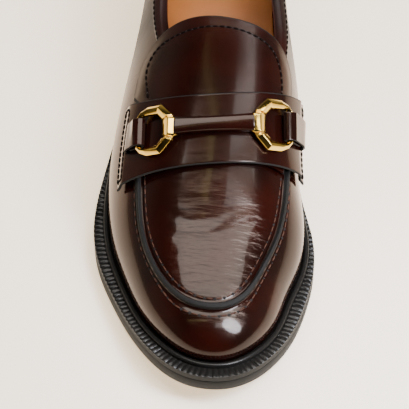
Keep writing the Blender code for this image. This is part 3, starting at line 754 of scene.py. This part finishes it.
def edge_drop(inside):
    """How far a sheet's top drops, negative, in the rounding of its cut edge."""
    return EDGE_ROUND * (np.sqrt(1 - (1 - np.clip(inside / EDGE_ROUND, 0, 1)) ** 2) - 1)


def dye_edges(sheet, inside):
    """Gives the dyed edge's material to a grid's faces that lie in the rounding of its edge."""
    middles = (inside[1:, 1:] + inside[1:, :-1] + inside[:-1, 1:] + inside[:-1, :-1]) / 4
    sheet.data.polygons.foreach_set("material_index", (middles < EDGE_ROUND).astype(int).reshape(-1))


def thicken(sheet, thickness, node):
    """Makes a sheet as thick as its leather and gives it its materials: leather, and dye on the cut edges."""
    finish_modifier(sheet, "SOLIDIFY", thickness=thickness - EDGE_ROUND, offset=-1, material_offset_rim=1)
    smooth(sheet, 50)
    return complete(sheet, ["leather", "dyed_edge"], [node])


def tongue_side(side, share):
    """The share across of the tongue's side edge: beside the apron seam, then wider behind the strap."""
    beside = apron_line(share) - (RIDGE_WIDTH / 2 + 2 * GAP) / (half_width_share(share) * BALL_WIDTH / 2)
    widening = np.where(side > 0, TONGUE_WIDENING[1], TONGUE_WIDENING[-1])
    free = smooth_step((share - TONGUE_FREE) / (TONGUE_CORNER - TONGUE_FREE))
    return side * (beside - TONGUE_INSET + widening * free)


def tongue_places(turn, up):
    """Places on the tongue: turn from its lateral edge (-1) to its medial edge (1), up along it."""
    side = np.where(turn >= 0, 1, -1)
    bottom = float(strap_share(0.0, -STRAP_WIDTH / 2 + TONGUE_LAP))
    top = TONGUE_TOP - TONGUE_SLANT * tongue_side(side, TONGUE_CORNER) * np.abs(turn)
    round_off = 1 - np.maximum(0.0, 1 - np.abs(turn) ** TONGUE_POWER) ** (1 / TONGUE_POWER)
    share = bottom + (top - (top - TONGUE_CORNER) * round_off - bottom) * up
    return tongue_side(side, np.minimum(share, TONGUE_CORNER)) * np.abs(turn), share


def build_tongue():
    """The tongue: a soft sheet with a dyed cut edge, a little fuller inside its stitch line."""
    turns = np.sin(np.linspace(-math.pi / 2, math.pi / 2, TONGUE_COLUMNS))
    ups = np.sin(np.linspace(0.0, math.pi / 2, TONGUE_ROWS))
    across, along = tongue_places(turns[None, :] + 0 * ups[:, None], ups[:, None] + 0 * turns[None, :])
    flat = last_points(across, along)
    edge = np.concatenate((flat[:, 0], flat[-1], flat[::-1, -1]))
    inside = near_line(flat, edge)
    puff = TONGUE_PUFF * smooth_step(inside / TONGUE_MARGIN)
    top = over_last(across, along, GAP + TONGUE_THICKNESS + puff + edge_drop(inside))
    tongue = laid_grid("tongue_leather", top, closed=True)
    dye_edges(tongue, inside)
    return thicken(tongue, TONGUE_THICKNESS, "tongue")


def slit_place(side):
    """The distance from the crest to a slit: past the bit's ring by the length of its tab."""
    return BIT_OFFSET + side * BIT_SPREAD + side * (TAB_MEDIAL if side > 0 else TAB_LATERAL)


def stops(places, counts):
    """Numbers from stop to stop, so many steps between each two."""
    runs = [np.linspace(a, b, n, endpoint=False) for a, b, n in zip(places, places[1:], counts)]
    return np.append(np.concatenate(runs), places[-1])


def delete_faces(piece, chosen):
    """Deletes the faces whose flag is set."""
    choose(piece)
    bpy.ops.object.mode_set(mode="EDIT")
    bpy.ops.mesh.select_mode(type="FACE")
    bpy.ops.mesh.select_all(action="DESELECT")
    bpy.ops.object.mode_set(mode="OBJECT")
    piece.data.polygons.foreach_set("select", chosen.reshape(-1))
    bpy.ops.object.mode_set(mode="EDIT")
    bpy.ops.mesh.delete(type="FACE")
    bpy.ops.object.mode_set(mode="OBJECT")


def build_strap():
    """The saddle strap: a sheet with a slit near each end, all its cut edges dyed."""
    slit_sides = sorted(slit_place(side) + edge * SLIT_WIDTH / 2 for side in (-1, 1) for edge in (-1, 1))
    ends = [-STRAP_LATERAL, EDGE_ROUND - STRAP_LATERAL, STRAP_MEDIAL - EDGE_ROUND, STRAP_MEDIAL]
    places = stops(ends[:2] + slit_sides + ends[2:], (3, 12, 4, 110, 4, 12, 3))
    half = STRAP_WIDTH / 2
    slit = SLIT_LENGTH / strap_flare(slit_place(-1)) / 2
    depths = [-half, EDGE_ROUND - half, BIT_SETBACK - slit, BIT_SETBACK + slit, half - EDGE_ROUND, half]
    along = stops(depths, (3, 14, 16, 14, 3))
    wide, deep = np.meshgrid(places, along)
    inside = np.minimum(half - np.abs(deep), np.minimum(wide + STRAP_LATERAL, STRAP_MEDIAL - wide))
    strap = laid_grid("saddle_strap_leather", strap_points(wide, deep, STRAP_THICKNESS + edge_drop(inside)))
    dye_edges(strap, inside)
    middle = (places[1:] + places[:-1]) / 2
    depth = (along[1:] + along[:-1]) / 2
    at_slit = np.minimum(np.abs(middle - slit_place(-1)), np.abs(middle - slit_place(1))) < SLIT_WIDTH / 2
    delete_faces(strap, (np.abs(depth - BIT_SETBACK) < slit)[:, None] & at_slit)
    return thicken(strap, STRAP_THICKNESS, "saddle_strap")


def soften(piece, width, segments, angle, levels=0):
    """Rounds the piece's sharp edges, and smooths it where levels are given."""
    finish_modifier(piece, "BEVEL", width=width, segments=segments, limit_method="ANGLE",
                    angle_limit=math.radians(angle))
    if levels:
        finish_modifier(piece, "SUBSURF", levels=levels, render_levels=levels)
    smooth(piece, 40)


def build_tab(name):
    """A leather tab, drawn through the strap's slit and folded round the ring; its cut edges are dyed."""
    tab = node_copy("tab_leather_" + name, "tab_" + name)
    soften(tab, 0.00025, 2, 40, 2)
    for face in tab.data.polygons:
        face.material_index = int(abs(face.normal.y) > TAB_EDGE_FACING)
    return complete(tab, ["leather", "dyed_edge"], ["tab_" + name])


def build_ring(name):
    """A ring of the bit: cast and polished, its arrises rounded."""
    ring = node_copy("ring_gold_" + name, "ring_" + name)
    soften(ring, 0.00022, 3, 12)
    return complete(ring, ["gold"], ["ring_" + name])


def build_bar():
    """The leather-wrapped bar between the rings."""
    bar = node_copy("bar_leather", "bit_bar")
    soften(bar, 0.0003, 2, 30, 1)
    return complete(bar, ["leather"], ["bit_bar"])


def outline_rows(count, profile):
    """Rows round the shoe: profile gives each row's distance outside the feather line and its height over the
    sole's underside, as functions of side, share and the distance round."""
    plan, outward, share, side = outline(count)
    around = arc_lengths(plan + outward * WELT_STANDOUT * 0.7)
    rows = []
    for place, height in profile:
        out = place(side, share, around)
        flat = plan + outward * np.broadcast_to(out, share.shape)[:, None]
        z = sole_line(flat[:, 1] / LAST_LENGTH + 0.5) + height(side, share, around)
        rows.append(np.column_stack((flat, z)) + ORIGIN)
    return np.array(rows)


def flat_row(out, height):
    """A row at one distance outside the feather line and one height."""
    return lambda side, share, around: out, lambda side, share, around: height


def build_welt():
    """The welt: a round bead against the upper and a band ribbed by a fudge wheel."""
    base = SOLE_THICKNESS + GAP
    top = base + WELT_THICKNESS
    length = arc_lengths(outline(2400)[0])[-1]
    ribs = int(round(length * 1.07 / RIB_PITCH))

    def bead_out(side, share):
        return np.minimum(GAP + 2 * BEAD_RADIUS, sole_offset(side, share) - 0.0009)

    def bead(turn):
        def place(side, share, around):
            radius = (bead_out(side, share) - GAP) / 2
            return GAP + radius - radius * math.cos(turn)

        def height(side, share, around):
            return top + BEAD_RADIUS * 1.15 * math.sin(turn)

        return place, height

    def band(across, drop, rib):
        """A row of the band at a share of its width, this far under the top, with this share of a rib."""
        def place(side, share, around):
            inner = bead_out(side, share)
            return inner + (sole_offset(side, share) - inner) * across

        def height(side, share, around):
            wave = np.abs(np.cos(math.pi * ribs * around / around[-1])) ** 0.7
            return top - drop - RIB_HEIGHT * rib * (1 - wave)

        return place, height

    inner, under = flat_row(-WALL, top), flat_row(-WALL, base)
    profile = [inner] + [bead(turn) for turn in np.linspace(0.0, math.pi * 0.95, 9)]
    profile += [band(*row) for row in WELT_BAND] + [band(1.0, WELT_THICKNESS, 0.0), under, inner]
    rows = outline_rows(ribs * 6, profile)
    welt = laid_grid("welt_rubber", rows[::-1], closed=True)
    side_rows = np.zeros((len(rows) - 1, rows.shape[1] - 1), int)
    side_rows[1:4] = 1
    welt.data.polygons.foreach_set("material_index", side_rows.reshape(-1))
    smooth(welt, 40)
    return complete(welt, ["welt", "rubber"], ["welt"])


def level(out_by, height):
    """A row of a plain rubber layer, this far inside the sole's edge and at this height."""
    return (lambda side, share, around: sole_offset(side, share) - out_by,
            lambda side, share, around: height)


def build_outsole():
    """The outsole: moulded rubber with a trimmed edge."""
    thick = SOLE_THICKNESS
    levels = ((0.012, 0.0), (0.0010, 0.0), (0.0003, 0.0001), (0.0, 0.0005),
              (0.0, thick - 0.0008), (0.0002, thick - 0.0003), (0.0007, thick), (0.012, thick))
    rows = outline_rows(480, [level(*place) for place in levels])
    sole = laid_grid("outsole_rubber", rows, closed=True)
    fill_ends(sole)
    smooth(sole, 40)
    return complete(sole, ["rubber"], ["outsole"])


def fill_ends(piece):
    """Closes a piece's open loops with faces across, and turns all faces outwards."""
    choose(piece)
    with editing():
        bpy.ops.mesh.select_mode(type="EDGE")
        bpy.ops.mesh.select_all(action="DESELECT")
        bpy.ops.mesh.select_non_manifold()
        bpy.ops.mesh.fill()
        bpy.ops.mesh.select_all(action="SELECT")
        bpy.ops.mesh.normals_make_consistent(inside=False)


def build_heel():
    heel = node_copy("heel_rubber", "heel")
    soften(heel, 0.0005, 3, 40)
    return complete(heel, ["rubber"], ["heel"])


def build_insole():
    insole = node_copy("insole_leather", "insole")
    soften(insole, 0.0006, 2, 40)
    return complete(insole, ["sock"], ["insole"])


def linear(hexadecimal, strength=1.0):
    """An sRGB colour as linear red, green and blue, times a strength, and full alpha."""
    channels = [int(hexadecimal[i:i + 2], 16) / 255 for i in (1, 3, 5)]
    values = [c / 12.92 if c <= 0.04045 else ((c + 0.055) / 1.055) ** 2.4 for c in channels]
    return (*[value * strength for value in values], 1.0)


def add_node(tree, kind, settings=None, links=None):
    """A node with its properties and inputs set, and its inputs linked to other nodes' outputs."""
    made = tree.nodes.new(kind)
    for name, value in (settings or {}).items():
        if isinstance(name, int) or name in made.inputs:
            made.inputs[name].default_value = value
        else:
            setattr(made, name, value)
    for name, source in (links or {}).items():
        tree.links.new(source, made.inputs[name])
    return made


def new_material(name, **values):
    """A material, its nodes, its shader with plain values set on its sockets, and the place on the piece."""
    material = bpy.data.materials.new(name)
    material.use_nodes = True
    tree = material.node_tree
    shader = tree.nodes["Principled BSDF"]
    for key, value in values.items():
        shader.inputs[key.replace("_", " ")].default_value = value
    return material, tree, shader, add_node(tree, "ShaderNodeTexCoord").outputs["Object"]


def colour_between(tree, shader, share, first, second):
    """Gives the shader a base colour between two colours, by a share."""
    mix = add_node(tree, "ShaderNodeMix", {"data_type": "RGBA", 6: first, 7: second}, {0: share})
    tree.links.new(mix.outputs[2], shader.inputs["Base Color"])


def bump(tree, shader, layers):
    """Stacks bumps on the shader's normal: each layer is a height output, its strength and its depth."""
    below = None
    for height, strength, depth in layers:
        links = {"Height": height}
        if below:
            links["Normal"] = below.outputs["Normal"]
        below = add_node(tree, "ShaderNodeBump", {"Strength": strength, "Distance": depth}, links)
    tree.links.new(below.outputs["Normal"], shader.inputs["Normal"])


def make_leather():
    """Box calf, drum dyed oxblood, burnished and glazed to a high gloss: a clear mirror over a deep colour
    that turns redder where the dye is thin."""
    material, tree, shader, place = new_material("glazed_calf_leather", IOR=1.28, Coat_IOR=1.23)
    shader.inputs["Coat Tint"].default_value = linear("#E4CDBC")
    clouds = add_node(tree, "ShaderNodeTexNoise", {"Scale": 38.0, "Detail": 3.0}, {"Vector": place})
    span = {"From Min": 0.35, "From Max": 0.70}
    spread = add_node(tree, "ShaderNodeMapRange", span, {"Value": clouds.outputs["Fac"]})
    colour_between(tree, shader, spread.outputs["Result"], linear("#150807"), linear("#250B07"))
    # The toe is burnished most, and the glaze thins out towards the heel
    along = add_node(tree, "ShaderNodeSeparateXYZ", None, {"Vector": place}).outputs["Y"]
    for socket, start, end, at_toe, at_heel in LEATHER_FINISH:
        span = {"From Min": start, "From Max": end, "To Min": at_toe, "To Max": at_heel}
        fade = add_node(tree, "ShaderNodeMapRange", span, {"Value": along})
        tree.links.new(fade.outputs["Result"], shader.inputs[socket])
    # Grain cells are about 0.7 mm here, and glazing has nearly closed them
    grain = add_node(tree, "ShaderNodeTexVoronoi", {"Scale": 1500.0}, {"Vector": place})
    swell = add_node(tree, "ShaderNodeTexNoise", {"Scale": 110.0, "Detail": 2.0}, {"Vector": place})
    # Faint wrinkles run across the foot, and stronger ones across the plug, which bends at each step
    squeezed = add_node(tree, "ShaderNodeMapping", {"Scale": (70.0, 330.0, 150.0)}, {"Vector": place})
    wrinkles = add_node(tree, "ShaderNodeTexNoise", {"Scale": 1.0, "Detail": 5.0},
                        {"Vector": squeezed.outputs["Vector"]})
    about_plug = add_node(tree, "ShaderNodeMapping",
                          {"Location": (-0.29, 2.33, -0.44), "Scale": (34.0, 27.0, 10.0)}, {"Vector": place})
    bent = add_node(tree, "ShaderNodeTexGradient", {"gradient_type": "SPHERICAL"},
                    {"Vector": about_plug.outputs["Vector"]})
    span = {"From Max": 0.3, "To Min": 0.12}
    flexed = add_node(tree, "ShaderNodeMapRange", span, {"Value": bent.outputs["Fac"]})
    walked = add_node(tree, "ShaderNodeMath", {"operation": "MULTIPLY"},
                      {0: wrinkles.outputs["Fac"], 1: flexed.outputs["Result"]})
    bump(tree, shader, [(swell.outputs["Fac"], 0.10, 0.0010), (walked.outputs["Value"], 1.0, 0.0006),
                        (grain.outputs["Distance"], 0.03, 0.0003)])
    return material


def make_dyed_edge():
    """Cut leather edge, painted black and left matt: soft grey where light falls along it."""
    material, tree, shader, place = new_material("edge_painted_leather", Roughness=0.75, IOR=1.35)
    shader.inputs["Base Color"].default_value = linear("#0C0B0A")
    fibres = add_node(tree, "ShaderNodeTexNoise", {"Scale": 900.0, "Detail": 3.0}, {"Vector": place})
    bump(tree, shader, [(fibres.outputs["Fac"], 0.25, 0.0002)])
    return material


def make_lining():
    """Lining leather, aniline dyed, brushed: matt and a little warmer than the outside."""
    material, tree, shader, place = new_material("brushed_lining_leather", Roughness=0.62, IOR=1.45)
    clouds = add_node(tree, "ShaderNodeTexNoise", {"Scale": 300.0, "Detail": 4.0}, {"Vector": place})
    colour_between(tree, shader, clouds.outputs["Fac"], linear("#3A1B14"), linear("#4A241A"))
    bump(tree, shader, [(clouds.outputs["Fac"], 0.2, 0.0002)])
    return material


def make_sock():
    """Vegetable tanned sock leather: tan, smooth and half matt, with a fine pore."""
    material, tree, shader, place = new_material("veg_tanned_sock_leather", Roughness=0.48, IOR=1.45)
    clouds = add_node(tree, "ShaderNodeTexNoise", {"Scale": 60.0, "Detail": 5.0}, {"Vector": place})
    colour_between(tree, shader, clouds.outputs["Fac"], linear("#834A1E"), linear("#9C5E2A"))
    pores = add_node(tree, "ShaderNodeTexVoronoi", {"Scale": 1400.0}, {"Vector": place})
    bump(tree, shader, [(pores.outputs["Distance"], 0.12, 0.0002)])
    return material


def make_rubber(name, colour, roughness, grain_strength):
    """Carbon-black nitrile rubber from a spark-eroded mould: near black with a soft, even sheen."""
    material, tree, shader, place = new_material(name, Roughness=roughness, IOR=1.30)
    clouds = add_node(tree, "ShaderNodeTexNoise", {"Scale": 70.0, "Detail": 4.0}, {"Vector": place})
    colour_between(tree, shader, clouds.outputs["Fac"], linear(colour), linear(colour, 1.5))
    grain = add_node(tree, "ShaderNodeTexNoise", {"Scale": 2200.0, "Detail": 2.0}, {"Vector": place})
    bump(tree, shader, [(grain.outputs["Fac"], grain_strength, 0.0002)])
    return material


def make_gold():
    """Zinc casting, polished and plated with pale yellow gold: a sharp warm mirror."""
    material, tree, shader, place = new_material("polished_gold_plate", Metallic=1.0, Roughness=0.13)
    shader.inputs["Base Color"].default_value = linear("#DFBA5C")
    waves = add_node(tree, "ShaderNodeTexNoise", {"Scale": 260.0, "Detail": 2.0}, {"Vector": place})
    bump(tree, shader, [(waves.outputs["Fac"], 0.05, 0.0003)])
    return material


def make_thread(name, colour, roughness):
    """Waxed polyester thread, three ply: satin, or dull where the wax has worn off, its twist hardly seen."""
    shine = (1 - roughness) / 2
    material, tree, shader, place = new_material(name, Roughness=roughness, Specular_IOR_Level=shine)
    twist = add_node(tree, "ShaderNodeTexNoise", {"Scale": 3000.0, "Detail": 1.0}, {"Vector": place})
    colour_between(tree, shader, twist.outputs["Fac"], linear(colour, 0.6), linear(colour))
    return material


def make_pinhole():
    """The dark inside of a needle hole, where no light comes back."""
    material, _, shader, _ = new_material("needle_hole_shade", Roughness=0.9)
    shader.inputs["Base Color"].default_value = linear("#0A0504")
    return material


def make_floor():
    """Matt studio paper, pale and warm, lit from below as well so that shadows on it stay light."""
    material, tree, shader, place = new_material("studio_paper", Roughness=0.9, Emission_Strength=PAPER_GLOW)
    clouds = add_node(tree, "ShaderNodeTexNoise", {"Scale": 2.0}, {"Vector": place})
    colour_between(tree, shader, clouds.outputs["Fac"], linear("#D6D1C9"), linear("#D8D3CB"))
    shader.inputs["Emission Color"].default_value = linear("#FFE2B8")
    return material


MATERIALS = {
    "leather": make_leather(),
    "dyed_edge": make_dyed_edge(),
    "lining": make_lining(),
    "sock": make_sock(),
    "welt": make_rubber("moulded_welt_rubber", "#0F0E0D", 0.33, 0.15),
    "rubber": make_rubber("moulded_sole_rubber", "#060605", 0.66, 0.35),
    "gold": make_gold(),
    "seam_thread": make_thread("rust_polyester_thread", "#3F2418", 0.55),
    "dark_thread": make_thread("black_polyester_thread", "#0B0807", 0.9),
    "pinhole": make_pinhole(),
}


def set_camera():
    """The camera in front of the toe, looking down at it, in the frame of a 409 by 409 picture."""
    turn, lift = math.radians(CAMERA_TURN), math.radians(CAMERA_LIFT)
    forward = Vector((math.sin(turn) * math.cos(lift), math.cos(turn) * math.cos(lift), -math.sin(lift)))
    data = bpy.data.cameras.new("studio_camera")
    camera = put_in_scene("studio_camera", data)
    camera.location = Vector(CAMERA_TARGET) - forward * CAMERA_DISTANCE
    camera.rotation_mode = "QUATERNION"
    camera.rotation_quaternion = forward.to_track_quat("-Z", "Y")
    data.sensor_width = 36.0
    data.lens = CAMERA_LENS
    data.clip_start = 0.01
    bpy.context.scene.camera = camera


def add_light(name, shape, place, aim, size, turn, power, colour, diffuse, shown):
    """A soft studio light, turned by degrees about its own axis."""
    data = bpy.data.lights.new(name, "AREA")
    data.shape = shape
    data.size, data.size_y = size
    data.energy = power
    data.color = linear(colour)[:3]
    data.diffuse_factor = diffuse
    light = put_in_scene(name, data)
    light.location = place
    light.rotation_mode = "QUATERNION"
    facing = (Vector(aim) - Vector(place)).to_track_quat("-Z", "Y")
    light.rotation_quaternion = facing @ Quaternion((0.0, 0.0, 1.0), math.radians(turn))
    light.visible_glossy = shown


def build_air():
    """The studio's air: pale walls low down, a little paler on the left, dark in front, and a dark ceiling
    over them."""
    world = bpy.data.worlds.new("studio_air")
    world.use_nodes = True
    tree = world.node_tree
    direction = add_node(tree, "ShaderNodeTexCoord").outputs["Generated"]
    parts = add_node(tree, "ShaderNodeSeparateXYZ", None, {"Vector": direction})
    shares = []
    for axis, start, end, first, last in AIR:
        span = {"From Min": start, "From Max": end, "To Min": first, "To Max": last}
        change = add_node(tree, "ShaderNodeMapRange", span, {"Value": parts.outputs[axis]})
        shares.append(change.outputs["Result"])
    walls = add_node(tree, "ShaderNodeMath", {"operation": "MULTIPLY"}, {0: shares[0], 1: shares[1]})
    strength = add_node(tree, "ShaderNodeMath", {"operation": "MULTIPLY"},
                        {0: shares[2], 1: walls.outputs["Value"]})
    air = tree.nodes["Background"]
    air.inputs["Color"].default_value = linear("#FFF9F0")
    tree.links.new(strength.outputs["Value"], air.inputs["Strength"])
    bpy.context.scene.world = world


def build_studio():
    """Pale paper floor, dim air and the lights."""
    deselect()
    bpy.ops.mesh.primitive_plane_add(size=8.0)
    floor = bpy.context.object
    floor.name = "studio_floor"
    floor.data.materials.append(make_floor())
    build_air()
    for light in LIGHTS:
        add_light(*light)


def seam_route(side, outside):
    """A line beside one side of the apron seam, at a distance outside it (or inside, where negative)."""
    shares = APRON_FRONT + (SEWN_TO - APRON_FRONT) * np.linspace(0.0, 1.0, 120) ** 2
    middle = last_points(side * apron_line(shares), shares)
    normal = unit(over_last(side * apron_line(shares), shares, 0.001) - middle)
    along = unit(np.gradient(middle, axis=0))
    beside = unit(np.cross(normal, along)) * side
    return middle - beside * outside


def round_toe(lateral, medial):
    """One route from two that start at the toe."""
    return np.concatenate((lateral[::-1], medial[1:]))


def sew_apron(upper):
    """The rows on both sides of the apron seam, and the pricks along its top."""
    sew("apron_inner", [round_toe(*(seam_route(side, -INNER_ROW) for side in (-1, 1)))], upper, "seam_thread")
    outer = []
    for side in (-1, 1):
        line = seam_route(side, OUTER_ROW)
        share = (line[:, 1] - ORIGIN[1]) / LAST_LENGTH + 0.5
        push = smooth_step((SPREAD_END - share) / SPREAD_LENGTH)[:, None]
        outer.append(line * (1 - push) + seam_route(side, OUTER_ROW_AT_TOE) * push)
    sew("apron_outer", [round_toe(*outer)], upper, "seam_thread")
    prick("apron_ridge_pricks", round_toe(*(seam_route(side, 0.0002) for side in (-1, 1))), upper)


def sew_strap_ends(strap):
    """A long narrow box of stitches at each end of the strap."""
    boxes = []
    reach = STRAP_WIDTH / 2 - END_BOX_MARGIN
    for end, inward in ((-STRAP_LATERAL, 1), (STRAP_MEDIAL, -1)):
        near, far = (end + inward * place for place in END_BOX)
        corners = np.array(((near, -reach), (near, reach), (far, reach), (far, -reach), (near, -reach)))
        line = np.vstack([np.linspace(a, b, 40) for a, b in zip(corners, corners[1:])])
        boxes.append(strap_points(line[:, 0], line[:, 1], STRAP_THICKNESS + GAP))
    sew("strap_end", boxes, strap, "dark_thread")


def sew_all(upper, tongue, strap, collar_line):
    """All the rows of stitches."""
    on_upper = surface_of(upper)
    sew_apron(on_upper)
    sew("collar", [np.vstack((collar_line, collar_line[:1]))], on_upper, "dark_thread")
    row = spline_through(TONGUE_STITCHES, 120)
    over_tongue = over_last(row[:, 0], row[:, 1], GAP + TONGUE_THICKNESS + 0.0005)
    sew("tongue", [over_tongue], surface_of(tongue), "dark_thread")
    sew_strap_ends(surface_of(strap))


set_camera()
build_studio()
upper, collar_line = build_upper()
tongue = build_tongue()
strap = build_strap()
for name in ("medial", "lateral"):
    build_tab(name)
    build_ring(name)
build_bar()
build_welt()
build_outsole()
build_heel()
build_insole()
sew_all(upper, tongue, strap, collar_line)
